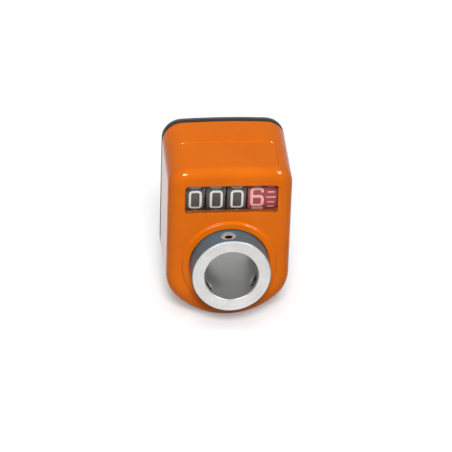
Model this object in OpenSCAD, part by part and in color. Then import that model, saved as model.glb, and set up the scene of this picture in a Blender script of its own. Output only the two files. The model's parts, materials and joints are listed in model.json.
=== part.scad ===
// Mechanical position indicator for a turning spindle: a moulded case with a
// hollow steel shaft clamped on the spindle, and a gear train that turns a
// four-wheel counter behind a window.
// Frame: +X right as seen from the front, +Y to the rear, +Z up.
// Origin: on the shaft axis, in the plane of the rear mounting face.

/* [Case] */
// Space between the wheels and the rear base
wheel_rear_gap = 2.2; // [1.3:0.1:4]
// Room from the gears to the outside of the case's side
side_room = 2.4; // [2.1:0.05:3]
// Lean of each side wall, in degrees
side_draft = 0.1; // [0:0.1:0.6]
// Depth of the case below the shaft axis
bottom_deep = 16.7; // [15.5:0.1:18]
// Radius of the curved bottom between its corners
sole_r = 18.9; // [18:0.1:40]
// Rounding of the two bottom corners
foot_r = 9.6; // [6:0.1:11]
// Height of the edge between front and top, above the counter's axle
top_room = 9.2; // [9.1:0.1:12]
// Rise of the top towards the rear, in degrees
top_slope = 8.1; // [7:0.1:10]
// Radius of the crowned top across the case
crown_r = 220; // [160:5:400]
// Rounding of the front edges
edge_r = 4; // [2.5:0.1:4.5]
// Rounding of the edge between front and top
crease_r = 2.2; // [1.4:0.1:3]
// Rounding of the two top corners
corner_r = 5.4; // [3.5:0.1:6]
// Side and bottom wall
wall = 1.5; // [1.2:0.05:1.6]
// Top wall
top_wall = 1; // [0.9:0.05:1.1]
// Front wall
front_wall = 1.6; // [1.3:0.05:2]
// Height of the raised ring round the collar
boss_h = 0.7; // [0.4:0.05:1.2]
// Width of the raised ring outside the collar
boss_w = 2.1; // [1.6:0.1:2.6]
// Width of the label recess on the top
label_w = 25; // [18:0.5:26]
// Length of the label recess along the slope
label_len = 11; // [8:0.5:13]
// Depth of the label recess
label_deep = 0.3; // [0.15:0.05:0.4]
// Distance from the front edge to the label recess
label_gap = 2.6; // [2.4:0.1:5]

/* [Rear] */
// Thickness of the foam gasket
gasket_t = 0.9; // [0.6:0.1:1.4]
// Thickness of the base plate
base_t = 1.7; // [1.4:0.1:2]
// Thickness of the lip that plugs into the case
lip_t = 0.9; // [0.7:0.05:1.1]
// Depth of that lip
lip_deep = 1.2; // [0.8:0.1:1.3]
// Diameter of the torque pin
pin_d = 6; // [4:0.1:7]
// Length of the torque pin beyond the mounting face
pin_len = 8; // [5:0.5:12]
// Height of the torque pin above the shaft axis
pin_z = 22; // [20:0.5:24]

/* [Shaft] */
// Bore for the spindle
bore_d = 14; // [10:0.1:14.4]
// Wall of the collar in front of the case
collar_wall = 3.35; // [2.8:0.05:3.6]
// Length of the collar in front of the case
collar_len = 6.8; // [6:0.1:9]
// Wall of the shaft inside the case
shaft_wall = 1.5; // [1.2:0.05:1.7]
// Diameter of the grub screws
screw_d = 4; // [3:0.1:4.2]
// Distance of the grub screws behind the collar's face
screw_back = 3.2; // [2.8:0.1:3.6]
// Turn of the first grub screw from straight up, in degrees
screw_turn = -4.4; // [-30:0.1:30]

/* [Window] */
// Width of the window
window_w = 24.2; // [23:0.05:25]
// Height of the window
window_h = 7.6; // [6.5:0.05:8]
// Shift of the window to the right
window_x = 0.15; // [0:0.05:0.5]
// Height of the middle of the window above the counter's axle
window_up = 0.9; // [0.2:0.05:1.2]
// Rounding of the window's corners
window_corner = 1; // [0.5:0.1:2]
// Width of the pane's flange behind the front wall
flange_w = 0.8; // [0.5:0.05:1]
// Thickness of that flange
flange_t = 0.3; // [0.2:0.05:0.3]

/* [Counter] */
// Radius of the number wheels
wheel_r = 9.1; // [9:0.05:9.2]
// Width of a number wheel
wheel_w = 4.92; // [4.8:0.02:5]
// Width of the units wheel with its graduation
units_w = 7.65; // [7:0.05:7.7]
// Space between two wheels, which the carrier plate fills
wheel_gap = 0.5; // [0.4:0.02:0.56]
// Space between the wheels and the shaft
wheel_shaft_gap = 0.5; // [0.4:0.05:1]
// Space between the wheels and the front wall
wheel_front_gap = 0.4; // [0.3:0.05:0.6]
// Diameter of the counter's axle
axle_d = 2; // [1.6:0.1:2.4]
// Diameter of the stub axles of the two gears
stub_d = 1.6; // [1.2:0.1:1.8]

/* [Gears] */
// Height of the counter's axle above the shaft axis, in modules of the drive gears
span_ratio = 31; // [30.8:0.05:31.5]
// Teeth of the crown gear on the shaft
crown_teeth = 36; // [36:1:36]
// Thickness of the spur gears
gear_t = 1.35; // [1.1:0.05:1.4]
// Space between the crown gear's teeth and the spur gears
gear_sleeve = 1.15; // [0.6:0.05:1.3]
// Radial width of the crown gear's teeth
crown_face = 1.6; // [1.2:0.1:1.8]
// Thickness of the crown gear's disc
crown_t = 1.4; // [1.1:0.1:1.5]
// Module of the transfer gears inside the wheels
carry_m = 0.72; // [0.7:0.01:0.73]

/* [Hidden] */

$fn = 96;
crown_fn = 720;
sole_fn = 192;
eps = 0.01;
// How far a cut reaches past a face
past = 1;

// Clearances
running = 0.05;
seat = 0.03;
side_play = 0.15;

// Colours
orange = "#d4660f";
black = "#26231f";
rubber = "#3a3836";
steel = "#c9ccd0";
brass = "#c9a45a";
white = "#e8e6df";
red = "#8f1420";
clear_pane = [0.8, 0.85, 0.9, 0.35];

// Depths along Y
body_depth = front_wall + wheel_front_gap + 2 * wheel_r + wheel_rear_gap + base_t + gasket_t;
front_y = -body_depth;
front_in_y = front_y + front_wall;
base_front_y = -gasket_t - base_t;
base_rear_y = -gasket_t;
collar_front_y = front_y - collar_len;
land_w = 1.6;
land_r = pin_d / 2 + land_w;
thrust_h = 0.3;
thrust_w = 1.6;
inner_edge = 1.2;

// Shaft
bore_r = bore_d / 2;
collar_r = bore_r + collar_wall;
shaft_r = bore_r + shaft_wall;
collar_recess = 0.25;
collar_rear_y = front_y + collar_recess;
collar_room = 0.25;
boss_r = collar_r + boss_w;
bearing_r = shaft_r + running;
bearing_tube_t = 1.7;
bearing_len = 1.6;
ring_gap_y = 0.1;
ring_t = 0.8;
ring_deep = 0.4;
ring_y = front_in_y + bearing_len + ring_gap_y;
o_ring_r = 0.5;
o_ring_y = front_in_y - front_wall / 2 + o_ring_r / 2;
bore_chamfer = 0.2;
rear_chamfer = 0.2;
screw_y = collar_front_y + screw_back;
screw_angles = [0, 120, 240];
screw_tip_gap = 0.15;
screw_head_gap = 0.35;
screw_socket_r = 1.15;
screw_socket_deep = 1.3;
screw_cup = 0.5;

// Counter
axle_r = axle_d / 2;
counter_y = front_in_y + wheel_front_gap + wheel_r;
counter_z = shaft_r + wheel_shaft_gap + wheel_r;
window_z = counter_z + window_up;
crease_z = counter_z + top_room;
wheel_pitch = wheel_w + wheel_gap;
wheel_rim = 0.8;
wheel_web = 1;
hub_wall = 1.15;
hub_r = axle_r + hub_wall;
axle_end_wall = 0.8;

// Drive gears, all with straight axes
pinion_teeth = crown_teeth / 2;
spur_teeth = 12;
idler_teeth = 14;
units_teeth = 2 * spur_teeth;
pressure = 20;
gear_m = counter_z / span_ratio;
gear_backlash = 0.08;
gear_add_ratio = 0.85;
gear_ded_ratio = 1.1;
crown_add_ratio = 0.9;
crown_clear = 0.1;
function pitch_r(teeth, m = gear_m) = teeth * m / 2;
crown_r_mean = pitch_r(crown_teeth);
crown_tooth_ratio = 0.36;
crown_rear_gap = 0.1;
crown_rear_y = base_front_y - thrust_h - crown_rear_gap;
crown_face_y = crown_rear_y - crown_t;
crown_pitch_y = crown_face_y - gear_add_ratio * gear_m - crown_clear;
crown_tip_y = crown_pitch_y - crown_add_ratio * gear_m;
cluster_y = crown_pitch_y - pitch_r(pinion_teeth);
pinion_x0 = crown_r_mean - crown_face / 2;
pinion_x1 = crown_r_mean + crown_face / 2;
gear_x0 = pinion_x1 + gear_sleeve;
gear_x1 = gear_x0 + gear_t;
gear_gap = 0.25;
units_x1 = gear_x0 - gear_gap;
units_x0 = units_x1 - units_w;
// Left end of number wheel k, counted from the thousands
function wheel_x0(k) = units_x0 - (3 - k) * wheel_pitch;
// Half the width of the case at the height of the shaft
half_w = gear_x1 + side_room;
stub_r = stub_d / 2;
stub_head_w = 0.55;
stub_head_r = stub_r + stub_head_w;
stub_head_t = 0.3;

// The idler's place, where circles about the two gears that it meets cross
reach_low = pitch_r(spur_teeth + idler_teeth);
reach_high = pitch_r(idler_teeth + units_teeth);
span_y = cluster_y - counter_y;
span = norm([span_y, counter_z]);
along = (reach_high * reach_high - reach_low * reach_low + span * span) / (2 * span);
aside = sqrt(max(reach_high * reach_high - along * along, 0));
idler_y = counter_y + (along * span_y - aside * counter_z) / span;
idler_z = counter_z - (along * counter_z + aside * span_y) / span;

// Turn of each gear's first tooth, so that teeth meet gaps
function meshed(turn, teeth, line, other) = line + 180 + 180 / other - (turn - line) * teeth / other;
line_low = atan2(idler_z, idler_y - cluster_y);
line_high = atan2(counter_z - idler_z, counter_y - idler_y);
cluster_turn = 0;
idler_turn = meshed(cluster_turn, spur_teeth, line_low, idler_teeth);
units_turn = meshed(idler_turn, idler_teeth, line_high, units_teeth);

// Transfer gears between neighbouring wheels
carry_teeth = 6;
ring_teeth = 20;
carry_offset = pitch_r(ring_teeth - carry_teeth, carry_m);
carry_add_ratio = 0.75;
carry_ded_ratio = 0.95;
carry_backlash = 0.12;
carry_deep_high = 1.9;
carry_deep_low = 1.5;
carry_tooth_h = 0.3;
journal_r = 1.1;
plate_play = 0.05;
plate_r = 6.4;
tab_turn = 45;
tab_w = 2;
tab_r = 12;
comb_deep = 3.8;
comb_front_y = base_front_y - comb_deep;
comb_rear_wall = 1;
comb_up = 7.4;
comb_z0 = counter_z + comb_up;
comb_h = 2.9;
comb_margin = 1.8;

// Pads on the side walls that carry the axles
pad_half = 3;
pad_lip_gap = 0.4;
pad_rear_y = base_front_y - lip_deep - pad_lip_gap;
pad_left_x = wheel_x0(0) - side_play;
pad_right_x = gear_x1 + side_play;
pad_right_low = -2.5;
finger_gap = 0.1;

// 2-D shapes

module rounded_rect(w, h, r) {
    square([w - 2 * r, h], center = true);
    square([w, h - 2 * r], center = true);
    for (x = [-1, 1], y = [-1, 1])
        translate([x * (w / 2 - r), y * (h / 2 - r)])
            circle(r);
}

// Involute gear outline: half-angle of a tooth at each radius, in degrees
function involute(a) = tan(a) * 180 / PI - a;
function slant(r, base) = acos(min(base / r, 1));
function half_tooth(r, teeth, m, slack) =
    let (base = pitch_r(teeth, m) * cos(pressure))
    90 / teeth - slack / (teeth * m) * 180 / PI
    + involute(pressure) - involute(slant(max(r, base), base));

function flank(teeth, m, add, ded, slack) =
    let (
        root = pitch_r(teeth, m) - ded * m,
        tip = pitch_r(teeth, m) + add * m,
        low = max(root, pitch_r(teeth, m) * cos(pressure))
    )
    [for (r = [root, low, (low + 2 * tip) / 3, tip]) [r, half_tooth(r, teeth, m, slack)]];

module gear_2d(teeth, m, add, ded, slack) {
    side = flank(teeth, m, add, ded, slack);
    last = len(side) - 1;
    polygon([
        for (k = [0 : teeth - 1], j = [0 : 2 * last + 1])
            let (
                p = j <= last ? side[j] : side[2 * last + 1 - j],
                turn = k * 360 / teeth + (j <= last ? -p[1] : p[1])
            )
            p[0] * [cos(turn), sin(turn)]
    ]);
}

// Placing: axis along Y, and axis along X with angles from +Y towards +Z

module about_y() rotate([-90, 0, 0]) children();

module about_x(y, z, x) translate([x, y, z]) rotate([90, 0, 90]) children();

// Middle of a corner between a side wall and an arc of radius big that reaches the height end
function corner_mid(half, end, big, corner, lean) =
    let (x = (half - corner + (end - corner) * sin(lean)) / cos(lean))
    [x, end - big + sqrt(pow(big - corner, 2) - x * x)];

function mirrored(p) = [-p[0], p[1]];

// The two corners, and the arc between them from one meeting point to the other
module end_2d(end, big, corner, mid, fn) {
    centre = [0, end - big];
    far_share = 3;
    far = centre + far_share * (mid - centre);
    translate(mid)
        circle(corner);
    translate(mirrored(mid))
        circle(corner);
    intersection() {
        translate(centre)
            circle(big, $fn = fn);
        polygon([mid, far, mirrored(far), mirrored(mid)]);
    }
}

// Outline of the case across Y at the depth y, set in on the sides and on the top
module outline_2d(y, side = 0, top = 0) {
    half = half_w - side;
    lean = [cos(side_draft), -sin(side_draft)];
    corner = max(corner_r - side, 1);
    top_z = crease_z + tan(top_slope) * (y - front_y) - top / cos(top_slope);
    crown = crown_r - top;
    mid = corner_mid(half, top_z, crown, corner, side_draft);
    foot = foot_r - side;
    sole = sole_r - side;
    under = bottom_deep - side;
    foot_up = corner_mid(half, under, sole, foot, -side_draft);
    foot_mid = [foot_up[0], -foot_up[1]];
    low = foot_mid + foot * lean;
    high = mid + corner * lean;
    polygon([
        low, high, mid, mirrored(mid), mirrored(high), mirrored(low), mirrored(foot_mid), foot_mid,
    ]);
    end_2d(top_z, crown, corner, mid, crown_fn);
    mirror([0, 1])
        end_2d(under, sole, foot, foot_up, sole_fn);
}

// That outline as a plate between two depths
module plate(y0, y1, outline_y, side = 0, top = 0) {
    translate([0, y1, 0])
        rotate([90, 0, 0])
            linear_extrude(height = y1 - y0)
                outline_2d(outline_y, side, top);
}

// One outline of a loft: a sheet that shrinks towards the inside, so that only its edge counts
module slice(y, side, top, inside = 1) {
    inner_scale = 0.98;
    translate([0, y, 0])
        rotate([90, 0, 0])
            mirror([0, 0, inside > 0 ? 1 : 0])
                linear_extrude(height = eps, scale = inner_scale)
                    outline_2d(y, side, top);
}

// Set-in of a rounded edge at the depth t behind the face
function rounding(r, t) = r - sqrt(max(r * r - pow(max(r - t, 0), 2), 0));

// The case's outer form, lofted through its outlines from the front face to the base
module case_loft(lower = 0) {
    steps = 8;
    hull() {
        for (k = [0 : steps])
            let (t = edge_r * (1 - cos(90 * k / steps)))
            slice(front_y + t, rounding(edge_r, t), rounding(crease_r, t) + lower);
        slice(base_front_y, 0, lower, inside = -1);
    }
}

// The room inside the case, open to the rear
module case_room() {
    mid_y = front_in_y + inner_edge;
    room_fn = 48;
    hull() {
        slice(front_in_y, wall + inner_edge, top_wall + inner_edge, $fn = room_fn);
        slice(mid_y, wall, top_wall, $fn = room_fn);
        slice(base_front_y + past, wall, top_wall, inside = -1, $fn = room_fn);
    }
}

module window_block(grow, y0, y1) {
    translate([window_x, y1, window_z])
        rotate([90, 0, 0])
            linear_extrude(height = y1 - y0)
                rounded_rect(window_w + 2 * grow, window_h + 2 * grow, window_corner + max(grow, 0));
}

// The raised ring round the collar, with a rounded outer edge
module front_boss() {
    round_share = 0.85;
    round_r = boss_h * round_share;
    sunk = front_wall / 2;
    translate([0, front_y, 0])
        about_y()
            rotate_extrude() {
                translate([0, -boss_h])
                    square([boss_r - round_r, boss_h + sunk]);
                translate([0, round_r - boss_h])
                    square([boss_r, boss_h - round_r + sunk]);
                translate([boss_r - round_r, round_r - boss_h])
                    circle(round_r);
            }
}

module label_recess() {
    corner = 1.5;
    reach = 3;
    difference() {
        translate([0, front_y, crease_z])
            rotate([top_slope, 0, 0])
                translate([0, label_gap + label_len / 2, -reach])
                    linear_extrude(height = 2 * reach)
                        rounded_rect(label_w, label_len, corner);
        case_loft(label_deep);
    }
}

module axle_slot() {
    slot_r = axle_r + seat;
    about_x(counter_y, counter_z, -half_w + axle_end_wall)
        linear_extrude(height = 2 * (half_w - axle_end_wall)) {
            circle(slot_r);
            translate([0, -slot_r])
                square([pad_rear_y - counter_y + eps, 2 * slot_r]);
        }
}

module side_pads() {
    inside = wall / 2;
    intersection() {
        plate(front_in_y, base_front_y, front_y + edge_r, inside, inside);
        union() {
            translate([-2 * half_w, counter_y - pad_half, counter_z - pad_half])
                cube([2 * half_w + pad_left_x, pad_rear_y - counter_y + pad_half, 2 * pad_half]);
            translate([pad_right_x, idler_y - pad_half, pad_right_low])
                cube([half_w, pad_rear_y - idler_y + pad_half, counter_z + pad_half - pad_right_low]);
        }
    }
}

module stub_hole(y, z) {
    about_x(y, z, pad_right_x - past)
        cylinder(h = half_w - axle_end_wall - pad_right_x + past, r = stub_r);
}

module housing() color(orange) {
    tube_r = bearing_r + bearing_tube_t;
    difference() {
        union() {
            difference() {
                case_loft();
                case_room();
            }
            front_boss();
            side_pads();
            translate([0, front_in_y - front_wall / 2, 0])
                about_y()
                    cylinder(h = bearing_len + front_wall / 2, r = tube_r);
        }
        window_block(0, front_y - past, front_in_y + past);
        label_recess();
        translate([0, front_y - boss_h - past, 0])
            about_y()
                cylinder(h = body_depth, r = bearing_r);
        translate([0, front_y - boss_h - past, 0])
            about_y()
                cylinder(h = boss_h + past + collar_recess + seat, r = collar_r + collar_room);
        translate([0, o_ring_y - o_ring_r - seat, 0])
            about_y()
                cylinder(h = 2 * (o_ring_r + seat), r = bearing_r + 2 * o_ring_r + seat);
        axle_slot();
        stub_hole(cluster_y, 0);
        stub_hole(idler_y, idler_z);
    }
}

// Clear pane: a plug flush with the front face, and a flange round it behind the wall
module window_pane() color(clear_pane) {
    flange_inner = 0.5;
    window_block(-seat, front_y + seat, front_in_y + seat + eps);
    difference() {
        window_block(flange_w, front_in_y + seat, front_in_y + flange_t);
        window_block(-flange_inner, front_in_y - past, front_in_y + past);
    }
}

// Rear base: plate, plug lip, axle keepers, comb for the carrier tabs and torque pin

module plug_lip() {
    room = 0.05;
    y0 = base_front_y - lip_deep;
    difference() {
        plate(y0, base_front_y + eps, y0, wall + room, top_wall + room);
        plate(y0 - past, base_front_y + past, y0, wall + lip_t, top_wall + lip_t);
    }
}

module keeper(x0, x1) {
    keeper_h = axle_d - 2 * finger_gap;
    y0 = counter_y + axle_r + seat;
    translate([x0, y0, counter_z - keeper_h / 2])
        cube([x1 - x0, base_front_y - y0 + eps, keeper_h]);
}

module carrier_comb() {
    x0 = wheel_x0(1) - comb_margin;
    x1 = units_x0 + comb_margin;
    slot_w = wheel_gap - 2 * plate_play + 2 * seat;
    difference() {
        translate([x0, comb_front_y, comb_z0])
            cube([x1 - x0, comb_deep + eps, comb_h]);
        for (k = [1 : 3])
            translate([wheel_x0(k) - wheel_gap / 2 - slot_w / 2, comb_front_y - past, comb_z0 - past])
                cube([slot_w, comb_deep - comb_rear_wall + past, comb_h + 2 * past]);
    }
}

module torque_pin() {
    pin_chamfer = 0.6;
    pin_r = pin_d / 2;
    translate([0, 0, pin_z])
        about_y()
            rotate_extrude()
                polygon([
                    [0, base_rear_y - eps],
                    [land_r, base_rear_y - eps],
                    [land_r, 0],
                    [pin_r, 0],
                    [pin_r, pin_len - pin_chamfer],
                    [pin_r - pin_chamfer, pin_len],
                    [0, pin_len],
                ]);
}

module rear_base() color(black) {
    keeper_left_gap = 0.25;
    keeper_right_gap = 0.05;
    inner_x = half_w - wall;
    difference() {
        union() {
            plate(base_front_y, base_rear_y, base_front_y);
            plug_lip();
            keeper(-inner_x + keeper_left_gap, pad_left_x);
            keeper(pad_right_x, inner_x - keeper_right_gap);
            carrier_comb();
            torque_pin();
            translate([0, base_front_y - thrust_h, 0])
                about_y()
                    cylinder(h = thrust_h + eps, r = shaft_r + thrust_w);
        }
        translate([0, base_front_y - past, 0])
            about_y()
                cylinder(h = base_t + 2 * past, r = bearing_r);
    }
}

module rear_gasket() color(rubber) {
    shaft_room = 0.4;
    land_room = 0.1;
    difference() {
        plate(base_rear_y, 0, base_front_y);
        translate([0, base_rear_y - past, 0])
            about_y()
                cylinder(h = gasket_t + 2 * past, r = bearing_r + shaft_room);
        translate([0, base_rear_y - past, pin_z])
            about_y()
                cylinder(h = gasket_t + 2 * past, r = land_r + land_room);
    }
}

// Shaft and what turns with it

module screw_place() {
    for (a = screw_angles)
        translate([0, screw_y, 0])
            rotate([0, screw_turn + a, 0])
                children();
}

module hollow_shaft() color(steel) {
    chamfer = 0.25;
    groove_r = shaft_r - ring_deep;
    difference() {
        about_y()
            rotate_extrude()
                polygon([
                    [bore_r + bore_chamfer, collar_front_y],
                    [collar_r - chamfer, collar_front_y],
                    [collar_r, collar_front_y + chamfer],
                    [collar_r, collar_rear_y],
                    [shaft_r, collar_rear_y],
                    [shaft_r, ring_y - seat],
                    [groove_r, ring_y - seat],
                    [groove_r, ring_y + ring_t + seat],
                    [shaft_r, ring_y + ring_t + seat],
                    [shaft_r, -rear_chamfer],
                    [shaft_r - rear_chamfer, 0],
                    [bore_r, 0],
                    [bore_r, collar_front_y + bore_chamfer],
                ]);
        screw_place()
            cylinder(h = 2 * collar_r, r = screw_d / 2);
    }
}

module grub_screws() color("#55585c") {
    screw_r = screw_d / 2 - seat;
    length = collar_r - screw_head_gap - bore_r - screw_tip_gap;
    edge = 0.3;
    screw_place()
        translate([0, 0, bore_r + screw_tip_gap])
            difference() {
                rotate_extrude()
                    polygon([
                        [0, screw_cup],
                        [screw_r / 2, 0],
                        [screw_r - edge, 0],
                        [screw_r, edge],
                        [screw_r, length - edge],
                        [screw_r - edge, length],
                        [0, length],
                    ]);
                translate([0, 0, length - screw_socket_deep])
                    cylinder(h = screw_socket_deep + past, r = screw_socket_r, $fn = 6);
            }
}

module shaft_o_ring() color(rubber) {
    translate([0, o_ring_y, 0])
        about_y()
            rotate_extrude()
                translate([bearing_r + o_ring_r, 0])
                    circle(o_ring_r, $fn = 32);
}

module retaining_ring() color("#8d9196") {
    ring_out = 0.9;
    mouth = 6;
    translate([0, ring_y, 0])
        about_y()
            difference() {
                cylinder(h = ring_t, r = shaft_r + ring_out);
                translate([0, 0, -past])
                    cylinder(h = ring_t + 2 * past, r = shaft_r - ring_deep + seat);
                translate([-mouth / 2, 0, -past])
                    cube([mouth, 2 * shaft_r, ring_t + 2 * past]);
            }
}

module crown_tooth() {
    lean = tan(pressure);
    half = crown_tooth_ratio / 2 * PI * gear_m;
    root_y = crown_face_y + crown_t / 4;
    root = half + (root_y - crown_pitch_y) * lean;
    tip = half - (crown_pitch_y - crown_tip_y) * lean;
    translate([pinion_x0, 0, 0])
        rotate([0, 90, 0])
            linear_extrude(height = crown_face)
                polygon([[-root, root_y], [root, root_y], [tip, crown_tip_y], [-tip, crown_tip_y]]);
}

module crown_gear() color(brass) {
    disc_edge = 0.3;
    difference() {
        union() {
            translate([0, crown_face_y, 0])
                about_y()
                    cylinder(h = crown_t, r = pinion_x1 + disc_edge);
            for (k = [0 : crown_teeth - 1])
                rotate([0, (k + 0.5) * 360 / crown_teeth, 0])
                    crown_tooth();
        }
        translate([0, crown_tip_y - past, 0])
            about_y()
                cylinder(h = crown_rear_y - crown_tip_y + 2 * past, r = shaft_r);
    }
}

// Gears on stub axles

module spur(teeth, thick, turn) {
    rotate([0, 0, turn])
        linear_extrude(height = thick)
            gear_2d(teeth, gear_m, gear_add_ratio, gear_ded_ratio, gear_backlash);
}

module stub_bore(y, z) {
    about_x(y, z, 0)
        cylinder(h = 2 * half_w, r = stub_r + running);
}

module cluster_gear() color(white) {
    sleeve_wall = 0.9;
    difference() {
        union() {
            about_x(cluster_y, 0, pinion_x0)
                spur(pinion_teeth, crown_face, cluster_turn);
            about_x(cluster_y, 0, pinion_x1 - eps)
                cylinder(h = gear_x0 - pinion_x1 + 2 * eps, r = stub_r + sleeve_wall);
            about_x(cluster_y, 0, gear_x0)
                spur(spur_teeth, gear_t, cluster_turn);
        }
        stub_bore(cluster_y, 0);
    }
}

module stub_axle(y, z, x0) {
    about_x(y, z, x0) {
        cylinder(h = half_w - axle_end_wall - seat - x0, r = stub_r);
        cylinder(h = stub_head_t, r = stub_head_r);
    }
}

module cluster_axle() color(steel)
    stub_axle(cluster_y, 0, pinion_x0 - side_play / 2 - stub_head_t);

module idler_gear() color(white) {
    difference() {
        about_x(idler_y, idler_z, gear_x0)
            spur(idler_teeth, gear_t, idler_turn);
        stub_bore(idler_y, idler_z);
    }
}

module idler_axle() color(steel)
    stub_axle(idler_y, idler_z, gear_x0 - side_play / 2 - stub_head_t);

// Number wheels on the counter's axle

module counter_axle() color(steel) {
    half = half_w - axle_end_wall - seat;
    about_x(counter_y, counter_z, -half)
        cylinder(h = 2 * half, r = axle_r);
}

// A drum with a web and a hub, hollow on both sides
module drum(x0, width, deep_left, deep_right) {
    about_x(counter_y, counter_z, x0)
        rotate_extrude()
            polygon([
                [axle_r + running, 0],
                [hub_r, 0],
                [hub_r, deep_left],
                [wheel_r - wheel_rim, deep_left],
                [wheel_r - wheel_rim, 0],
                [wheel_r, 0],
                [wheel_r, width],
                [wheel_r - wheel_rim, width],
                [wheel_r - wheel_rim, width - deep_right],
                [hub_r, width - deep_right],
                [hub_r, width],
                [axle_r + running, width],
            ]);
}

// Ring of inner teeth on a wheel's right side, which the transfer pinion turns
module inner_ring(x1) {
    about_x(counter_y, counter_z, x1 - carry_deep_high - eps)
        linear_extrude(height = carry_deep_high + eps)
            difference() {
                circle(wheel_r - wheel_rim + eps);
                gear_2d(ring_teeth, carry_m, carry_ded_ratio, carry_add_ratio, -carry_backlash);
            }
}

// The two teeth on a wheel's left side that step the pinion once a turn
module carry_pair(x0) {
    tooth_w = 0.9;
    in_r = wheel_r - wheel_rim;
    for (s = [-1, 1])
        about_x(counter_y, counter_z, x0)
            rotate([0, 0, 180 + s * 180 / ring_teeth])
                translate([in_r - carry_tooth_h, -tooth_w / 2, 0])
                    cube([carry_tooth_h + wheel_rim / 2, tooth_w, carry_deep_low + eps]);
}

module number_wheel(k, carries) {
    x0 = wheel_x0(k);
    drum(x0, wheel_w, carry_deep_low, carry_deep_high);
    inner_ring(x0 + wheel_w);
    if (carries)
        carry_pair(x0);
}

module units_wheel() color(red) {
    drum(units_x0, units_w, carry_deep_low, units_w - carry_deep_low - wheel_web);
    carry_pair(units_x0);
    difference() {
        union() {
            about_x(counter_y, counter_z, gear_x0)
                spur(units_teeth, gear_t, units_turn);
            about_x(counter_y, counter_z, units_x1 - eps)
                cylinder(h = gear_x0 - units_x1 + 2 * eps, r = hub_r);
        }
        about_x(counter_y, counter_z, 0)
            cylinder(h = 2 * half_w, r = axle_r + running);
    }
}

module tens_wheel() color(black) number_wheel(2, true);

module hundreds_wheel() color(black) number_wheel(1, true);

module thousands_wheel() color(black) number_wheel(0, false);

// Transfer pinions and the plates that carry them, at the gap before wheel k

module transfer_pinion(k) {
    end_play = 0.2;
    x0 = wheel_x0(k) - wheel_gap - carry_deep_high + end_play;
    x1 = wheel_x0(k) + carry_deep_low - end_play;
    mid_x0 = wheel_x0(k) - wheel_gap - plate_play;
    mid_x1 = wheel_x0(k) + plate_play;
    for (part = [[x0, mid_x0 + eps], [mid_x1 - eps, x1]])
        about_x(counter_y + carry_offset, counter_z, part[0])
            linear_extrude(height = part[1] - part[0])
                gear_2d(carry_teeth, carry_m, carry_add_ratio, carry_ded_ratio, carry_backlash);
    about_x(counter_y + carry_offset, counter_z, mid_x0)
        cylinder(h = mid_x1 - mid_x0, r = journal_r);
}

module carrier_plate(k) {
    thick = wheel_gap - 2 * plate_play;
    slot_r = journal_r + running;
    about_x(counter_y, counter_z, wheel_x0(k) - wheel_gap + plate_play)
        linear_extrude(height = thick)
            difference() {
                union() {
                    circle(plate_r);
                    rotate(tab_turn)
                        translate([0, -tab_w / 2])
                            square([tab_r, tab_w]);
                }
                circle(axle_r + seat);
                translate([carry_offset, 0])
                    circle(slot_r);
                translate([carry_offset, -slot_r])
                    square([plate_r, 2 * slot_r]);
            }
}

module transfer_pinion_1() color(white) transfer_pinion(3);

module transfer_pinion_2() color(white) transfer_pinion(2);

module transfer_pinion_3() color(white) transfer_pinion(1);

module carrier_plate_1() color(steel) carrier_plate(3);

module carrier_plate_2() color(steel) carrier_plate(2);

module carrier_plate_3() color(steel) carrier_plate(1);

housing();
window_pane();
rear_base();
rear_gasket();
hollow_shaft();
grub_screws();
shaft_o_ring();
retaining_ring();
crown_gear();
cluster_gear();
cluster_axle();
idler_gear();
idler_axle();
counter_axle();
units_wheel();
tens_wheel();
hundreds_wheel();
thousands_wheel();
transfer_pinion_1();
transfer_pinion_2();
transfer_pinion_3();
carrier_plate_1();
carrier_plate_2();
carrier_plate_3();
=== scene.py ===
"""Looks of a mechanical position indicator: a glossy moulded case, its wheel counter and its steel shaft."""
import json
import math

import bmesh
import bpy
import numpy as np
from mathutils import Matrix, Vector


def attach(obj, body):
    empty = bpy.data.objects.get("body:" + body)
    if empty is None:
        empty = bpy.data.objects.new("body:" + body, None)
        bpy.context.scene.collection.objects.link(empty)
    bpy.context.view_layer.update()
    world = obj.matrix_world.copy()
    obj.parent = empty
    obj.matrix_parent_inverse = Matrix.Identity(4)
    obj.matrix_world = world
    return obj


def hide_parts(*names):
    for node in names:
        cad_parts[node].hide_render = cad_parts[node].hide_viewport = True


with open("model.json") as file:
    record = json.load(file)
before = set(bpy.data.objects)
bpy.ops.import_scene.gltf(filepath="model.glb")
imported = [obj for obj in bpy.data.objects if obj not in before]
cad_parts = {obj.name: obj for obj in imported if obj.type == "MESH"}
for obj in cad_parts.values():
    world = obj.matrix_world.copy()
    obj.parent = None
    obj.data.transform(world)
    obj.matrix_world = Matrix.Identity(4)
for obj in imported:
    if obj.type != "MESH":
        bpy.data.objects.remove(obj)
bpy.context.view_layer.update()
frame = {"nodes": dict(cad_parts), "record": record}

MM = 0.001
QUARTER = math.pi / 2
MERGE_DIST, SHARP_ANGLE = 2e-6, math.radians(30)

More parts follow.
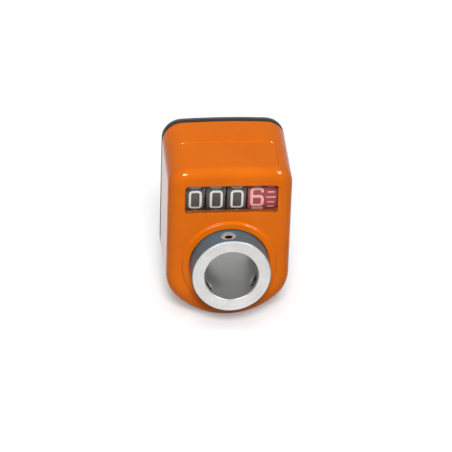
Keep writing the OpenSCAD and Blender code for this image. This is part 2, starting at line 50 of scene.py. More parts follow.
# Sizes of the case, in millimetres, as in the part's source, with the finer edges of its mesh
HALF_W, SIDE_DRAFT, CROWN_R, TOP_SLOPE = 16.2097, math.radians(0.1), 220.0, math.radians(8.1)
BOTTOM_DEEP, SOLE_R, FOOT_R = 16.7, 18.9, 9.6
FRONT_Y, FRONT_IN_Y, BASE_FRONT_Y = -25.0, -23.4, -2.6
CREASE_Z, EDGE_R, CREASE_R, CORNER_R = 27.3, 4.0, 2.2, 5.4
WALL, TOP_WALL, INNER_EDGE = 1.5, 1.0, 1.2
LABEL_W, LABEL_LEN, LABEL_DEEP, LABEL_GAP = 25.0, 11.0, 0.3, 2.6
LABEL_CORNER, LABEL_SIDE = 1.5, 0.12
BOSS_R, BOSS_H, BOSS_HOLE_R, BOSS_ROUND, BOSS_FILLET = 12.45, 0.7, 10.6, 0.5, 0.2
BOSS_SUNK, BOSS_BREAK = 0.2, 0.12
BEARING_R, COLLAR_R, COLLAR_RECESS, BORE_R, SCREW_HEAD_R = 8.55, 10.35, 0.28, 7.0, 10.0
MOUTH_MARGIN = 2.4
WINDOW_W, WINDOW_H, WINDOW_X, WINDOW_Z, WINDOW_CORNER = 24.2, 7.6, 0.15, 19.0, 1.0
WINDOW_EDGE = 0.15

# Sizes of the counter and of the numbers on its wheels
WHEEL_R, WHEEL_Y, WHEEL_Z = 9.1, -13.9, 18.1
DIGIT_X = {"thousands": -9.15, "hundreds": -3.68, "tens": 1.74, "units": 6.95}
DIGIT_COUNT, DIGIT_STEP = 10, math.radians(36)
DIGIT_W, DIGIT_H, DIGIT_STROKE, UNITS_STROKE = 2.8, 4.7, 0.62, 0.74
DIGIT_PROUD, DIGIT_SUNK, DIGIT_TOP = 0.02, 0.05, 0.97
DIGIT_LEAD, UNITS_SHOWN, UNITS_LEAD = math.radians(-1.2), 6, math.radians(2.2)
MARK_X0, MARK_X1, MARK_SHORT, MARK_STROKE, MARKS_PER_DIGIT = 9.3, 11.9, 0.35, 0.32, 4
MARK_BEND, PATH_STEP, BEND_COUNT = 0.1, 0.07, 12

# The camera, found by matching the photograph
CAMERA_YAW, CAMERA_PITCH, CAMERA_ROLL = math.radians(-6.47), math.radians(28.25), math.radians(1.93)
CAMERA_FAR, CAMERA_LENS_PX, FRAME_PX = 800.0, 3034.0, 452
CAMERA_AIM, CAMERA_AIM_PX = (0.0, -14.0, 8.0), (225.9, 217.0)
SENSOR_W, CLIP_NEAR, CLIP_FAR = 36, 0.01, 20

# The floor and the dome: what the floor throws back, its shade to the eye, its own white, and the soft light
FLOOR_BOUNCE, FLOOR_SHADED, FLOOR_GLOW = (0.45, 0.45, 0.45, 1), (0.61, 0.61, 0.61, 1), 0.32
FLOOR_REACH, DOME_STRENGTH = 4.0, 0.12
WHITE = (1, 1, 1, 1)


# Meshes: each shape is a grid of points, worked out in millimetres

def quads(rows, cols):
    """Corner numbers of the quads of a grid whose last column joins its first."""
    across = np.arange(cols)
    right = (across + 1) % cols
    down = np.arange(rows - 1)[:, None] * cols
    corners = [down + across, down + right, down + cols + right, down + cols + across]
    return np.stack(corners, -1).reshape(-1, 4)


def sheet(rings):
    """A surface through closed rings of points: (points, faces) of the grid that they make."""
    rings = np.asarray(rings, float)
    return rings.reshape(-1, 3), quads(*rings.shape[:2])


def between(inner, outer, steps=3):
    """The surface between two loops with as many points: straight lines from each point to its mate."""
    share = np.linspace(0, 1, steps)[:, None, None]
    return sheet(inner * (1 - share) + outer * share)


def make_piece(name, sheets, material, body):
    """One object from several sheets: points that meet are merged, and sharp edges stay crisp."""
    starts = np.cumsum([0] + [len(points) for points, _ in sheets[:-1]])
    points = np.concatenate([points for points, _ in sheets]) * MM
    faces = np.concatenate([corners + start for (_, corners), start in zip(sheets, starts)])
    mesh = bpy.data.meshes.new(name)
    mesh.from_pydata(points, [], faces)
    tidy = bmesh.new()
    tidy.from_mesh(mesh)
    bmesh.ops.remove_doubles(tidy, verts=tidy.verts, dist=MERGE_DIST)
    bmesh.ops.recalc_face_normals(tidy, faces=tidy.faces)
    tidy.to_mesh(mesh)
    tidy.free()
    mesh.polygons.foreach_set("use_smooth", np.ones(len(mesh.polygons), bool))
    mesh.set_sharp_from_angle(angle=SHARP_ANGLE)
    mesh.materials.append(material)
    piece = bpy.data.objects.new(name, mesh)
    bpy.context.scene.collection.objects.link(piece)
    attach(piece, body)
    return piece


def at_depth(flat, y):
    """Points (x, z) of a plane across the shaft, put at the depth y."""
    return np.stack([flat[..., 0], np.broadcast_to(y, flat.shape[:-1]), flat[..., 1]], -1)


def arc(centre, radius, angles):
    """Points of an arc about a centre, at the given angles."""
    return np.stack([centre[0] + radius * np.cos(angles), centre[1] + radius * np.sin(angles)], -1)


def line(start, end, count):
    """Points on a straight line, evenly spaced, without its end, so that lines and arcs follow each other."""
    share = np.linspace(0, 1, count, endpoint=False)[:, None]
    return np.asarray(start) * (1 - share) + np.asarray(end) * share


def spaced(start, end, count):
    """Evenly spaced values from one to another, without the last."""
    return np.linspace(start, end, count, endpoint=False)


# Samples round the case: close together where the label recess has its corners
CORNER_SHARES = np.concatenate([spaced(0, 0.8, 14), spaced(0.8, 1, 16)])
CROWN_SHARES = np.concatenate([spaced(0, 0.06, 12), spaced(0.06, 0.94, 26), spaced(0.94, 1, 12)])
CORNER_COUNT, CROWN_COUNT = len(CORNER_SHARES), len(CROWN_SHARES)
SIDE_COUNT, SPLIT, CROSS_COUNT, LOW_CORNER_COUNT = 18, 12, 40, 12
FOOT_COUNT, SOLE_COUNT = 26, 20
BOTTOM_COUNT = 2 * FOOT_COUNT + SOLE_COUNT

# Samples along the case's depth and round its edges: fine steps at the ends of the label recess
EDGE_RINGS, REAR_RINGS, WINDOW_RINGS, BOSS_RINGS, LATHE_COUNT = 14, 14, 6, 9, 192
LABEL_MARGIN, FINE_STEP, WIDE_STEP, DEPTH_DIGITS = 0.2, 0.1, 0.7, 4


def corner_mid(half, end, big, corner, lean):
    """The middle of a corner between a leaning side and an arc of a big radius that reaches the height end,
    and the angle of the point where the corner meets that arc."""
    x = (half - corner + (end - corner) * math.sin(lean)) / math.cos(lean)
    up = math.sqrt((big - corner) ** 2 - x ** 2)
    return np.array([x, end - big + up]), math.atan2(up, x)


def outline(y, side, top):
    """The case's outline at a depth, set in at the sides and the top, as points (x, z): straight side, corner
    arc, crowned top, corner arc, straight side, foot arc, sole arc and foot arc, with the same samples at
    every depth."""
    half = HALF_W - side
    lean = np.array([math.cos(SIDE_DRAFT), -math.sin(SIDE_DRAFT)])
    corner = CORNER_R - side
    top_z = CREASE_Z + math.tan(TOP_SLOPE) * (y - FRONT_Y) - top / math.cos(TOP_SLOPE)
    crown = CROWN_R - top
    mid, meet = corner_mid(half, top_z, crown, corner, SIDE_DRAFT)
    foot, sole, under = FOOT_R - side, SOLE_R - side, BOTTOM_DEEP - side
    foot_up, foot_meet = corner_mid(half, under, sole, foot, -SIDE_DRAFT)
    foot_mid = foot_up * [1, -1]
    low, high = foot_mid + foot * lean, mid + corner * lean
    left = np.array([-1, 1])
    right_corner = arc(mid, corner, -SIDE_DRAFT + CORNER_SHARES * (meet + SIDE_DRAFT))
    corner_end = arc(mid, corner, np.array([meet]))
    across = corner_end[0, 0] * (1 - 2 * CROWN_SHARES)
    top_arc = np.stack([across, top_z - crown + np.sqrt(crown ** 2 - across ** 2)], -1)
    left_corner = np.concatenate([corner_end, right_corner[:0:-1]]) * left
    left_foot = arc(foot_mid * left, foot, spaced(math.pi + SIDE_DRAFT, math.pi + foot_meet, FOOT_COUNT))
    sole_arc = arc((0, sole - under), sole, spaced(math.pi + foot_meet, 2 * math.pi - foot_meet, SOLE_COUNT))
    right_foot = arc(foot_mid, foot, spaced(-foot_meet, -SIDE_DRAFT, FOOT_COUNT))
    return np.concatenate([line(low, high, SIDE_COUNT), right_corner, top_arc, left_corner,
                           line(high * left, low * left, SIDE_COUNT), left_foot, sole_arc, right_foot])


def rounding(radius, deep):
    """How far a rounded edge is set in at a depth behind its face."""
    return radius - math.sqrt(radius ** 2 - max(radius - deep, 0) ** 2)


def label_dip(points):
    """How deep the label recess is at points of the top: its full depth inside a rectangle with rounded
    corners, by the distance to that rectangle's edge, with a steep side."""
    along = (points[..., 1] - FRONT_Y) / math.cos(TOP_SLOPE) - LABEL_GAP - LABEL_LEN / 2
    out_x = np.abs(points[..., 0]) - LABEL_W / 2 + LABEL_CORNER
    out_y = np.abs(along) - LABEL_LEN / 2 + LABEL_CORNER
    away = np.hypot(np.maximum(out_x, 0), np.maximum(out_y, 0)) - LABEL_CORNER
    away += np.minimum(np.maximum(out_x, out_y), 0)
    return LABEL_DEEP * np.clip(0.5 - away / LABEL_SIDE, 0, 1) * (points[..., 2] > CREASE_Z - CORNER_R)


def window_loop(grow, y):
    """A loop round the window's rounded rectangle, grown on all sides: up its right side, over its top, down
    its left side and along its bottom, with as many points on each as the outline has there."""
    r = WINDOW_CORNER + grow
    cx, cz = WINDOW_W / 2 + grow - r, WINDOW_H / 2 + grow - r
    parts = [
        line((cx + r, -cz), (cx + r, cz), SIDE_COUNT - SPLIT),
        arc((cx, cz), r, spaced(0, QUARTER, CORNER_COUNT)),
        line((cx, cz + r), (-cx, cz + r), CROWN_COUNT),
        arc((-cx, cz), r, spaced(QUARTER, 2 * QUARTER, CORNER_COUNT)),
        line((-cx - r, cz), (-cx - r, -cz), SIDE_COUNT - SPLIT + 1),
        arc((-cx, -cz), r, spaced(2 * QUARTER, 3 * QUARTER, LOW_CORNER_COUNT)),
        line((-cx, -cz - r), (cx, -cz - r), CROSS_COUNT - 2 * LOW_CORNER_COUNT),
        arc((cx, -cz), r, spaced(3 * QUARTER, 4 * QUARTER, LOW_CORNER_COUNT)),
    ]
    return at_depth(np.concatenate(parts) + [WINDOW_X, WINDOW_Z], y)


def front_loops(ring):
    """The two loops that an outline and a straight line across it make: above the line round the window, and
    below it round the shaft."""
    right, left = SPLIT, len(ring) - BOTTOM_COUNT - SPLIT
    cross = line(ring[left], ring[right], CROSS_COUNT + 1)[1:]
    upper = np.concatenate([ring[right:left + 1], cross])
    lower = np.concatenate([ring[left:], ring[:right + 1], cross[::-1]])
    return upper, lower


def circle(radius, y, like):
    """A circle about the shaft axis, with its points at the angles of another loop's points."""
    return at_depth(arc((0, 0), radius, np.arctan2(like[:, 2], like[:, 0])), y)


def lathe(profile):
    """A profile (radius, y) carried round the shaft axis."""
    radius, y = np.asarray(profile, float).T[..., None]
    return sheet(at_depth(arc((0, 0), radius, spaced(0, 2 * math.pi, LATHE_COUNT)), y))


def case_sheets():
    """The moulded case: an outer skin through its outlines, the flat front with the window's opening and the
    shaft's hole, the walls of both, an inner skin and the rear rim."""
    label_front, label_rear = LABEL_GAP, LABEL_GAP + LABEL_LEN
    deep = np.unique(np.concatenate([
        EDGE_R * (1 - np.cos(np.linspace(0, QUARTER, EDGE_RINGS))),
        np.arange(label_front - LABEL_MARGIN, label_front + LABEL_CORNER, FINE_STEP),
        np.arange(label_front + LABEL_CORNER, label_rear - LABEL_CORNER, WIDE_STEP),
        np.arange(label_rear - LABEL_CORNER, label_rear + LABEL_MARGIN, FINE_STEP),
        np.linspace(label_rear + LABEL_MARGIN, BASE_FRONT_Y - FRONT_Y, REAR_RINGS)]).round(DEPTH_DIGITS))
    skin = np.stack([at_depth(outline(FRONT_Y + t, rounding(EDGE_R, t), rounding(CREASE_R, t)), FRONT_Y + t)
                     for t in deep])
    skin[..., 2] -= label_dip(skin)
    upper, lower = front_loops(skin[0])
    edge = np.linspace(0, QUARTER, WINDOW_RINGS)
    grows, depths = WINDOW_EDGE * (1 - np.sin(edge)), FRONT_Y + WINDOW_EDGE * (1 - np.cos(edge))
    opening = [window_loop(g, y) for g, y in zip(grows, depths)] + [window_loop(0, FRONT_IN_Y)]
    steps = [(BEARING_R + MOUTH_MARGIN, FRONT_Y), (BOSS_HOLE_R, FRONT_Y),
             (BOSS_HOLE_R, FRONT_Y + COLLAR_RECESS), (BEARING_R, FRONT_Y + COLLAR_RECESS),
             (BEARING_R, FRONT_IN_Y)]
    mouth = [circle(r, y, lower) for r, y in steps]
    room = [at_depth(outline(y, WALL + side, TOP_WALL + side), y) for y, side in
            [(FRONT_IN_Y, INNER_EDGE), (FRONT_IN_Y + INNER_EDGE, 0), (BASE_FRONT_Y, 0)]]
    inner_upper, inner_lower = front_loops(room[0])
    front = [between(opening[0], upper), between(mouth[0], lower), sheet(opening), sheet(mouth)]
    inside = [sheet(room), between(opening[-1], inner_upper), between(mouth[-1], inner_lower)]
    return [sheet(skin), *front, *inside, between(room[-1], skin[-1], steps=2)]


def boss_sheet():
    """The raised ring round the collar: a profile with a rounded outer edge and a fillet, carried round."""
    top, sunk = FRONT_Y - BOSS_H, FRONT_Y + BOSS_SUNK
    bend = np.linspace(0, QUARTER, BOSS_RINGS)
    past_sine, past_cosine = 1 - np.sin(bend), 1 - np.cos(bend)
    hole = [(BOSS_HOLE_R, sunk), (BOSS_HOLE_R, top + BOSS_BREAK), (BOSS_HOLE_R + BOSS_BREAK, top)]
    rim = np.stack([BOSS_R - BOSS_ROUND * past_sine, top + BOSS_ROUND * past_cosine], -1)
    foot = np.stack([BOSS_R + BOSS_FILLET * past_cosine, FRONT_Y - BOSS_FILLET * past_sine], -1)
    under = [(BOSS_R + BOSS_FILLET, sunk), (BOSS_HOLE_R, sunk)]
    return lathe(np.concatenate([hole, rim, foot, under]))


# Numbers on the wheels: strokes, each as corners in a box from -1 to 1 and the radius of its bends

NUMERALS = {
    0: [([(0, -1), (1, -1), (1, 1), (-1, 1), (-1, -1), (0, -1)], 0.62)],
    1: [([(-0.45, 0.6), (0.1, 1), (0.1, -1)], 0.1)],
    2: [([(-1, 0.5), (-1, 1), (1, 1), (1, 0.1), (-1, -1), (1, -1)], 0.5)],
    3: [([(-1, 0.6), (-1, 1), (1, 1), (1, 0.06), (-0.2, 0.06)], 0.5),
        ([(-0.15, 0.03), (1, 0.03), (1, -1), (-1, -1), (-1, -0.55)], 0.5)],
    4: [([(0.5, -1), (0.5, 1), (-1, -0.4), (1, -0.4)], 0.06)],
    5: [([(0.9, 1), (-0.85, 1), (-1, 0.15), (1, 0.15), (1, -1), (-1, -1), (-1, -0.6)], 0.5)],
    6: [([(1, 0.55), (1, 1), (-1, 1), (-1, -1), (1, -1), (1, 0.12), (-1, 0.12)], 0.6)],
    7: [([(-1, 1), (1, 1), (-0.3, -1)], 0.1)],
    8: [([(0, 0.08), (0.9, 0.08), (0.9, 1), (-0.9, 1), (-0.9, 0.08), (0, 0.08)], 0.5),
        ([(0, -1), (1, -1), (1, 0.05), (-1, 0.05), (-1, -1), (0, -1)], 0.5)],
    9: [([(-1, -0.55), (-1, -1), (1, -1), (1, 1), (-1, 1), (-1, -0.12), (1, -0.12)], 0.6)],
}

# The profile of a stroke: shares of its half width, and heights above the drum, with its foot sunk in it
STROKE_PROFILE = [(1, -DIGIT_SUNK), (DIGIT_TOP, DIGIT_PROUD), (-DIGIT_TOP, DIGIT_PROUD), (-1, -DIGIT_SUNK)]


def rounded_path(corners, radius):
    """A path through corners, each replaced by a curve whose control points lie a radius before it, on it
    and a radius after it, then sampled at even steps of its length; and the length up to each sample."""
    corners = np.asarray(corners, float)
    legs = np.diff(corners, axis=0)
    length = np.linalg.norm(legs, axis=1)[:, None]
    cut = legs / length * np.minimum(radius, 0.5 * length)
    inner = corners[1:-1, None]
    before, after = inner - cut[:-1, None], inner + cut[1:, None]
    t = np.linspace(0, 1, BEND_COUNT)[None, :, None]
    bends = (1 - t) ** 2 * before + 2 * t * (1 - t) * inner + t ** 2 * after
    rough = np.concatenate([corners[:1], bends.reshape(-1, 2), corners[-1:]])
    run = np.concatenate([[0], np.cumsum(np.linalg.norm(np.diff(rough, axis=0), axis=1))])
    even = np.linspace(0, run[-1], int(run[-1] / PATH_STEP) + 2)
    return np.stack([np.interp(even, run, rough[:, k]) for k in (0, 1)], -1), even


def stroke(corners, radius, width, x, turn):
    """A raised stroke on a wheel: a closed profile with sloped sides carried along a path, narrowed to
    nothing at a round end, and bent about the counter's axle. Up the digit is round the drum, against its
    turn."""
    path, run = rounded_path(corners, radius)
    way = np.gradient(path, axis=0)
    way /= np.linalg.norm(way, axis=1)[:, None]
    across = np.stack([-way[:, 1], way[:, 0]], -1)
    looped = np.allclose(corners[0], corners[-1])
    end = np.minimum(run, run[-1] - run) / (width / 2)
    narrow = np.ones(len(run)) if looped else np.sqrt(1 - (1 - np.clip(end, 0, 1)) ** 2)
    rows = []
    for share, lift in STROKE_PROFILE:
        flat = path + across * (share * width / 2 * narrow)[:, None]
        angle = turn - flat[:, 1] / WHEEL_R
        r = WHEEL_R + lift
        rows.append(np.stack([x + flat[:, 0], WHEEL_Y + r * np.cos(angle), WHEEL_Z + r * np.sin(angle)], -1))
    return sheet(np.swapaxes(rows, 0, 1))


def digit_strokes(number, x, turn, width):
    """The strokes of one number, in a box of the digits' size."""
    size = np.array([DIGIT_W, DIGIT_H]) / 2
    return [stroke(np.array(corners) * size, radius * size[0], width, x, turn)
            for corners, radius in NUMERALS[number]]


def wheel_numbers(x, shown, lead, width):
    """The ten numbers of a wheel, a tenth of a turn apart, with one of them at the front."""
    front = math.pi - lead
    return [s for n in range(DIGIT_COUNT)
            for s in digit_strokes(n, x, front + DIGIT_STEP * (n - shown), width)]


def graduation():
    """The marks at the end of the units wheel: a long one at each number and short ones between."""
    sheets = []
    for k in range(DIGIT_COUNT * MARKS_PER_DIGIT):
        short = 0 if k % MARKS_PER_DIGIT == 0 else MARK_SHORT
        ends = [(MARK_X0 + short, 0), ((MARK_X0 + MARK_X1) / 2, 0), (MARK_X1 - short, 0)]
        turn = math.pi - UNITS_LEAD + k * DIGIT_STEP / MARKS_PER_DIGIT
        sheets.append(stroke(ends, MARK_BEND, MARK_STROKE, 0, turn))
    return sheets


# Materials: nodes written as sums

class Socket:
    """An output of a node. An operator on it adds the Math node that works it out."""

    def __init__(self, finish, out):
        self.finish, self.out = finish, out

    def math(self, operation, first, second):
        """The output of a Math node on two values."""
        return self.finish.node("Math", {"operation": operation}, {0: first, 1: second})

    def __add__(self, other):
        return self.math("ADD", self, other)

    def __sub__(self, other):
        return self.math("SUBTRACT", self, other)

    def __rsub__(self, other):
        return self.math("SUBTRACT", other, self)

    def __mul__(self, other):
        return self.math("MULTIPLY", self, other)

    __radd__ = __add__


class Nodes:
    """A node tree, with one method that adds any node to it."""

    def __init__(self, tree):
        self.tree = tree

    def node(self, kind, settings=None, sockets=None, out=0):
        """Adds a node: its settings first, then the values and links of its sockets; gives one output."""
        node = self.tree.nodes.new("ShaderNode" + kind)
        for key, value in (settings or {}).items():
            setattr(node, key, value)
        for key, value in (sockets or {}).items():
            self.put(node.inputs[key], value)
        return Socket(self, node.outputs[out])

    def put(self, socket, value):
        """Links an output to a socket, or sets the socket's own value."""
        if isinstance(value, Socket):
            self.tree.links.new(value.out, socket)
        else:
            socket.default_value = value


class Finish(Nodes):
    """A material: a Principled shader with constants, and nodes that vary its colour, gloss and relief."""

    def __init__(self, name, **constants):
        self.material = bpy.data.materials.new(name)
        self.material.use_nodes = True
        super().__init__(self.material.node_tree)
        self.shader = self.tree.nodes["Principled BSDF"]
        for socket, value in constants.items():
            self.shader.inputs[socket.replace("_", " ")].default_value = value

    def place(self):
        """The piece's own coordinates."""
        return self.node("TexCoord", out="Object")

    def noise(self, scale, detail=3.0, roughness=0.5, vector=None):
        """Noise on the piece's own coordinates, or on those given."""
        return self.node("TexNoise", {}, {"Vector": vector or self.place(), "Scale": scale, "Detail": detail,
                                          "Roughness": roughness}, "Fac")

    def mix(self, share, first, second):
        """A colour between two others, by a share."""
        return self.node("Mix", {"data_type": "RGBA"}, {0: share, 6: first, 7: second}, 2)

    def ramp(self, value, low, high):
        """The share of the way from low to high, kept between 0 and 1."""
        return self.node("MapRange", {"clamp": True}, {0: value, 1: low, 2: high, 3: 0.0, 4: 1.0})

    def feed(self, colour, roughness, relief, strength, reach):
        """Links what varies to the shader; the relief goes through a Bump node."""
        bump = self.node("Bump", {}, {"Strength": strength, "Distance": reach, "Height": relief}, "Normal")
        for socket, value in [("Base Color", colour), ("Roughness", roughness), ("Normal", bump)]:
            self.put(self.shader.inputs[socket], value)
        return self.material


# How the finishes vary: the middle of a noise, its shares in gloss, streaks and relief, and the polished coat
NOISE_MIDDLE, RINGS_IN_STREAKS, SMUDGE_IN_STREAKS, SLOW_IN_RELIEF = 0.5, 0.6, 0.4, 0.5
GRAIN_IN_GLOSS, SMUDGE_IN_GLOSS, CELLS_IN_GLOSS, WEAR_IN_GLOSS, HAZE_IN_GLOSS = 0.1, 0.12, 0.2, 0.2, 0.05
FOAM_ROUGH, PAINT_ROUGH, PANE_ROUGH = 0.75, 0.45, 0.04
FACE_COAT, EDGE_COAT, EDGE_FROM, EDGE_TO = 0.2, 0.72, 0.55, 0.95


def moulded_plastic(name, dark, light, gloss, grain, polished=False, **constants):
    """Moulded plastic: slow change of colour, fine grain in the gloss and in the relief. A polished one has a
    coat that shows most at a low angle."""
    finish = Finish(name, **constants)
    if polished:
        facing = finish.node("LayerWeight", out="Facing")
        coat = FACE_COAT + finish.ramp(facing, EDGE_FROM, EDGE_TO) * EDGE_COAT
        finish.put(finish.shader.inputs["Coat Weight"], coat)
    slow = finish.noise(scale=60, detail=2)
    fine = finish.noise(scale=grain, detail=4, roughness=0.6)
    colour = finish.mix(finish.ramp(slow, low=0.3, high=0.7), (*dark, 1), (*light, 1))
    roughness = gloss + (fine - NOISE_MIDDLE) * GRAIN_IN_GLOSS
    return finish.feed(colour, roughness, fine + slow * SLOW_IN_RELIEF, strength=0.06, reach=0.0001)


# Zones of turned metal that paint shade and reflection: two radii in millimetres, a colour, how much less
# metallic and how much rougher
BORE_CHAMFER, COLLAR_CHAMFER, DARK_REFLECTION_EDGE, ZONE_BLUR = 0.2, 0.25, 0.08, 0.015
SHAFT_PAINTED_LIGHT_ZONES = [
    # Painted shade: the bore darker inside, still metallic
    (0, BORE_R + ZONE_BLUR, (0.34, 0.34, 0.335), 0.0, 0.1),
    # Painted shade on the chamfer at the bore's mouth, duller and hardly metallic
    (BORE_R + ZONE_BLUR, BORE_R + BORE_CHAMFER, (0.22, 0.22, 0.215), 0.9, 0.2),
    # Painted shade on the collar's outer chamfer: a dull grey in place of its bright edge
    (COLLAR_R - COLLAR_CHAMFER, COLLAR_R - DARK_REFLECTION_EDGE, (0.3, 0.305, 0.3), 0.95, 0.3),
    # Painted reflection: the collar's side dark bluish and hardly metallic
    (COLLAR_R - DARK_REFLECTION_EDGE, 2 * COLLAR_R, (0.064, 0.12, 0.15), 0.92, 0.08),
]
SOCKET_DEEP, SOCKET_GAP = 2.3, 0.15
SCREW_PAINTED_SHADE_ZONES = [
    # Painted shade: the screws' tips in the bore near black
    (0, SCREW_HEAD_R - SOCKET_DEEP, (0.04, 0.04, 0.04), 0.0, 0.0),
    # Painted shade: the screws' sockets black
    (SCREW_HEAD_R - SOCKET_DEEP, SCREW_HEAD_R - SOCKET_GAP, (0.01, 0.01, 0.01), 0.0, 0.3),
]


def turned_metal(name, dark, light, gloss, spread, pitch, zones=(), metallic=1.0):
    """Turned metal: fine rings about the shaft axis, from noise on the radius and the depth alone, and zones
    of other colours by radius: painted shade in the bore and on the chamfers, a painted dark bluish
    reflection on the collar's side, and painted shade on the screws' tips and in their sockets."""
    finish = Finish(name, Specular_IOR_Level=0.2)
    depth = finish.node("SeparateXYZ", {}, {0: finish.place()}, "Y")
    x, z = [Socket(finish, depth.out.node.outputs[axis]) for axis in ("X", "Z")]
    radius = finish.node("Math", {"operation": "SQRT"}, {0: x * x + z * z})
    ring_place = finish.node("CombineXYZ", {}, {0: radius, 1: depth, 2: 0.0})
    rings = finish.noise(scale=pitch, roughness=0.7, vector=ring_place)
    smudge = finish.noise(scale=220)
    streaks = rings * RINGS_IN_STREAKS + smudge * SMUDGE_IN_STREAKS
    colour = finish.mix(finish.ramp(streaks, low=0.3, high=0.7), (*dark, 1), (*light, 1))
    roughness = gloss + (rings - NOISE_MIDDLE) * spread + (smudge - NOISE_MIDDLE) * SMUDGE_IN_GLOSS
    metal = metallic
    for low, high, tint, less, duller in zones:
        past_low = finish.ramp(radius, (low - ZONE_BLUR) * MM, (low + ZONE_BLUR) * MM)
        zone = past_low * finish.ramp(radius, (high + ZONE_BLUR) * MM, (high - ZONE_BLUR) * MM)
        colour = finish.mix(zone, colour, (*tint, 1))
        roughness = roughness + zone * duller
        if less:
            metal = metal - zone * less
    finish.put(finish.shader.inputs["Metallic"], metal)
    return finish.feed(colour, roughness, rings, strength=0.12, reach=0.00003)


def foam_rubber(name, dark, light, cell):
    """Closed-cell foam: small round cells in the relief and the colour."""
    finish = Finish(name)
    cells = finish.node("TexVoronoi", {}, {"Vector": finish.place(), "Scale": cell}, "Distance")
    colour = finish.mix(finish.ramp(cells, low=0.1, high=0.6), (*dark, 1), (*light, 1))
    return finish.feed(colour, FOAM_ROUGH + cells * CELLS_IN_GLOSS, cells, strength=0.5, reach=0.0002)


PANE_IOR, PANE_TINT, PANE_CLEAR = 1.49, (0.02, 0.02, 0.02, 1), (0.985, 0.985, 0.985, 1)
PANE_GLOSS, PANE_INNER_LOSS = 0.6, 0.2


def clear_pane(name):
    """A clear pane: light goes straight through it, apart from what its face reflects at each angle, which is
    held down, and more so on its inner side."""
    finish = Finish(name, IOR=PANE_IOR, Base_Color=PANE_TINT)
    haze = finish.noise(scale=300)
    finish.put(finish.shader.inputs["Roughness"], PANE_ROUGH + haze * HAZE_IN_GLOSS)
    through = finish.node("BsdfTransparent", {}, {"Color": PANE_CLEAR})
    facing = finish.node("Fresnel", {}, {"IOR": PANE_IOR})
    inside = finish.node("NewGeometry", out="Backfacing")
    gloss = facing * (PANE_GLOSS - inside * PANE_INNER_LOSS)
    surface = Socket(finish, finish.shader.outputs[0])
    shown = finish.node("MixShader", {}, {0: gloss, 1: through, 2: surface})
    finish.put(finish.tree.nodes["Material Output"].inputs["Surface"], shown)
    return finish.material


def painted_numbers(name, colour, worn):
    """Printed number paint: nearly even, with faint wear."""
    finish = Finish(name)
    wear = finish.noise(scale=900, detail=4, roughness=0.6)
    shade = finish.mix(finish.ramp(wear, low=0.45, high=0.75), (*colour, 1), (*worn, 1))
    return finish.feed(shade, PAINT_ROUGH + wear * WEAR_IN_GLOSS, wear, strength=0.05, reach=0.00005)


FINISHES = {
    "orange_plastic": moulded_plastic("orange_plastic", (0.54, 0.109, 0.001), (0.595, 0.122, 0.001),
                                      gloss=0.32, grain=2600, polished=True, Specular_IOR_Level=0.0,
                                      Coat_Roughness=0.07),
    "clear_pane": clear_pane("clear_pane"),
    "black_plastic": moulded_plastic("black_plastic", (0.012, 0.010, 0.007), (0.020, 0.016, 0.011), gloss=0.6,
                                     grain=3200, Specular_IOR_Level=0.1),
    "foam_rubber": foam_rubber("foam_rubber", (0.012, 0.012, 0.012), (0.035, 0.034, 0.033), cell=2600),
    "turned_steel": turned_metal("turned_steel", (0.54, 0.535, 0.53), (0.69, 0.68, 0.67), gloss=0.28,
                                 spread=0.2, pitch=9000, zones=SHAFT_PAINTED_LIGHT_ZONES),
    "dark_steel": turned_metal("dark_steel", (0.38, 0.39, 0.40), (0.58, 0.59, 0.60), gloss=0.25,
                               spread=0.2, pitch=6000, zones=SCREW_PAINTED_SHADE_ZONES, metallic=0.5),
    "seal_rubber": foam_rubber("seal_rubber", (0.01, 0.01, 0.01), (0.02, 0.02, 0.02), cell=1800),
    "spring_steel": turned_metal("spring_steel", (0.30, 0.30, 0.31), (0.44, 0.44, 0.45), gloss=0.35,
                                 spread=0.2, pitch=7000),
    "gear_brass": turned_metal("gear_brass", (0.62, 0.42, 0.16), (0.76, 0.55, 0.24), gloss=0.3,
                               spread=0.2, pitch=6000),
    "white_plastic": moulded_plastic("white_plastic", (0.74, 0.73, 0.68), (0.82, 0.81, 0.77), gloss=0.4,
                                     grain=3000),
    "axle_steel": turned_metal("axle_steel", (0.45, 0.46, 0.48), (0.62, 0.63, 0.65), gloss=0.25,
                               spread=0.15, pitch=8000),
    "black_wheel": moulded_plastic("black_wheel", (0.078, 0.064, 0.057), (0.10, 0.083, 0.074), gloss=0.5,
                                   grain=3200),
    "red_wheel": moulded_plastic("red_wheel", (0.40, 0.055, 0.06), (0.47, 0.07, 0.07), gloss=0.5, grain=3200),
}
WHITE_PAINT = painted_numbers("white_number_paint", (0.90, 0.89, 0.88), (0.83, 0.82, 0.81))
PINK_PAINT = painted_numbers("pink_number_paint", (1.0, 0.60, 0.58), (0.96, 0.54, 0.52))


# The pieces

for part in frame["record"]["subparts"]:
    node = frame["nodes"][part["node"]]
    node.data.materials.clear()
    node.data.materials.append(FINISHES[part["material_slot"]])

skins = [*case_sheets(), boss_sheet()]
case = make_piece("moulded_case", skins, FINISHES["orange_plastic"], "case")
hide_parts("housing")

for wheel in ("thousands", "hundreds", "tens"):
    numbers = wheel_numbers(DIGIT_X[wheel], 0, DIGIT_LEAD, DIGIT_STROKE)
    make_piece(f"{wheel}_numbers", numbers, WHITE_PAINT, wheel)
units = wheel_numbers(DIGIT_X["units"], UNITS_SHOWN, UNITS_LEAD, UNITS_STROKE) + graduation()
make_piece("units_numbers", units, PINK_PAINT, "units")


# The stage: a white floor that keeps the shadow, a soft dome, lamps and the camera

SEEN_RAYS = ("Is Camera Ray", "Is Glossy Ray", "Is Transmission Ray")


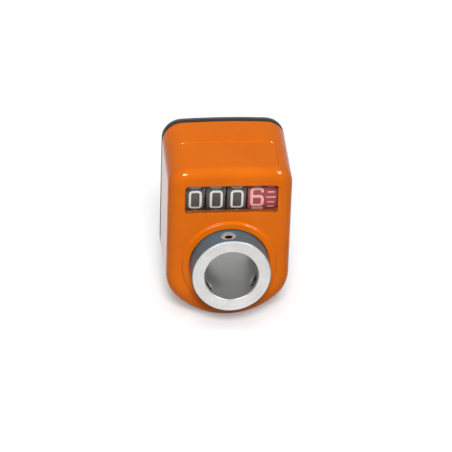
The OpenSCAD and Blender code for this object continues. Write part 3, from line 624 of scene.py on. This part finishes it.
def white_to_the_eye(nodes, plain, bright):
    """Mixes two shaders by kind of ray: seen directly, mirrored or through glass, the bright one shows."""
    rays = nodes.tree.nodes.new("ShaderNodeLightPath")
    direct, mirrored, through = [Socket(nodes, rays.outputs[kind]) for kind in SEEN_RAYS]
    share = nodes.node("Clamp", {}, {0: direct + mirrored + through})
    return nodes.node("MixShader", {}, {0: share, 1: plain, 2: bright})


def make_floor():
    """A wide flat floor under the case: pale grey to the light that it throws back, and to the eye part lit
    and part white of its own."""
    finish = Finish("studio_floor")
    lit = finish.node("BsdfDiffuse", {}, {"Color": FLOOR_BOUNCE})
    shaded = finish.node("BsdfDiffuse", {}, {"Color": FLOOR_SHADED})
    glow = finish.node("Emission", {}, {"Color": WHITE, "Strength": FLOOR_GLOW})
    bright = finish.node("AddShader", {}, {0: shaded, 1: glow})
    finish.put(finish.tree.nodes["Material Output"].inputs["Surface"], white_to_the_eye(finish, lit, bright))
    mesh = bpy.data.meshes.new("studio_floor")
    corners = FLOOR_REACH * np.array([(-1, -1), (1, -1), (1, 1), (-1, 1)])
    mesh.from_pydata(np.c_[corners, np.full(len(corners), -BOTTOM_DEEP * MM)], [], [(0, 1, 2, 3)])
    mesh.materials.append(finish.material)
    floor = bpy.data.objects.new("studio_floor", mesh)
    bpy.context.scene.collection.objects.link(floor)


def make_dome():
    """The world: even soft light, and white where it is seen or mirrored."""
    world = bpy.data.worlds.new("studio_dome")
    world.use_nodes = True
    bpy.context.scene.world = world
    nodes = Nodes(world.node_tree)
    plain = nodes.node("Background", {}, {"Color": WHITE, "Strength": DOME_STRENGTH})
    bright = nodes.node("Background", {}, {"Color": WHITE})
    nodes.put(nodes.tree.nodes["World Output"].inputs["Surface"], white_to_the_eye(nodes, plain, bright))


def make_lamp(name, turn, height, spread, strength, glint=False):
    """A wide far lamp: its turn to the right of the front and its height above the floor, both in degrees,
    the angle that it fills, and its strength, the same everywhere. A glint lamp shows only as a reflection,
    the others never."""
    data = bpy.data.lights.new(name, "SUN")
    data.angle, data.energy = math.radians(spread), strength
    lamp = bpy.data.objects.new(name, data)
    turn, height = math.radians(turn), math.radians(height)
    level = math.cos(height)
    towards = Vector((math.sin(turn) * level, -math.cos(turn) * level, math.sin(height)))
    lamp.rotation_euler = towards.to_track_quat("Z", "Y").to_euler()
    lamp.visible_glossy, lamp.visible_diffuse = glint, not glint
    bpy.context.scene.collection.objects.link(lamp)


def make_camera():
    """The camera: turned by yaw, pitch and roll, far from its aim, and moved in its own plane so that the aim
    falls on its place in the frame."""
    data = bpy.data.cameras.new("camera")
    camera = bpy.data.objects.new("camera", data)
    flat = math.cos(CAMERA_PITCH)
    back = Vector((math.sin(CAMERA_YAW) * flat, -math.cos(CAMERA_YAW) * flat, math.sin(CAMERA_PITCH)))
    level = Vector((math.cos(CAMERA_YAW), math.sin(CAMERA_YAW), 0))
    rise = back.cross(level)
    right = level * math.cos(CAMERA_ROLL) + rise * math.sin(CAMERA_ROLL)
    up = rise * math.cos(CAMERA_ROLL) - level * math.sin(CAMERA_ROLL)
    per_px = CAMERA_FAR / CAMERA_LENS_PX
    aside = right * (FRAME_PX / 2 - CAMERA_AIM_PX[0]) * per_px
    aloft = up * (CAMERA_AIM_PX[1] - FRAME_PX / 2) * per_px
    place = (Vector(CAMERA_AIM) + back * CAMERA_FAR + (aside + aloft)) * MM
    camera.matrix_world = Matrix.Translation(place) @ Matrix((right, up, back)).transposed().to_4x4()
    data.sensor_width = SENSOR_W
    data.lens = CAMERA_LENS_PX * SENSOR_W / FRAME_PX
    data.clip_start, data.clip_end = CLIP_NEAR, CLIP_FAR
    bpy.context.scene.collection.objects.link(camera)
    bpy.context.scene.camera = camera


make_floor()
make_dome()
make_lamp("front_lamp", turn=-4, height=43, spread=17, strength=3.4)
make_lamp("top_lamp", turn=-10, height=76, spread=40, strength=1.15)
make_lamp("left_glint_lamp", turn=-30, height=43, spread=24, strength=10, glint=True)
make_lamp("right_glint_lamp", turn=54, height=41, spread=24, strength=10, glint=True)
make_camera()
bpy.context.scene.view_settings.view_transform = "Standard"
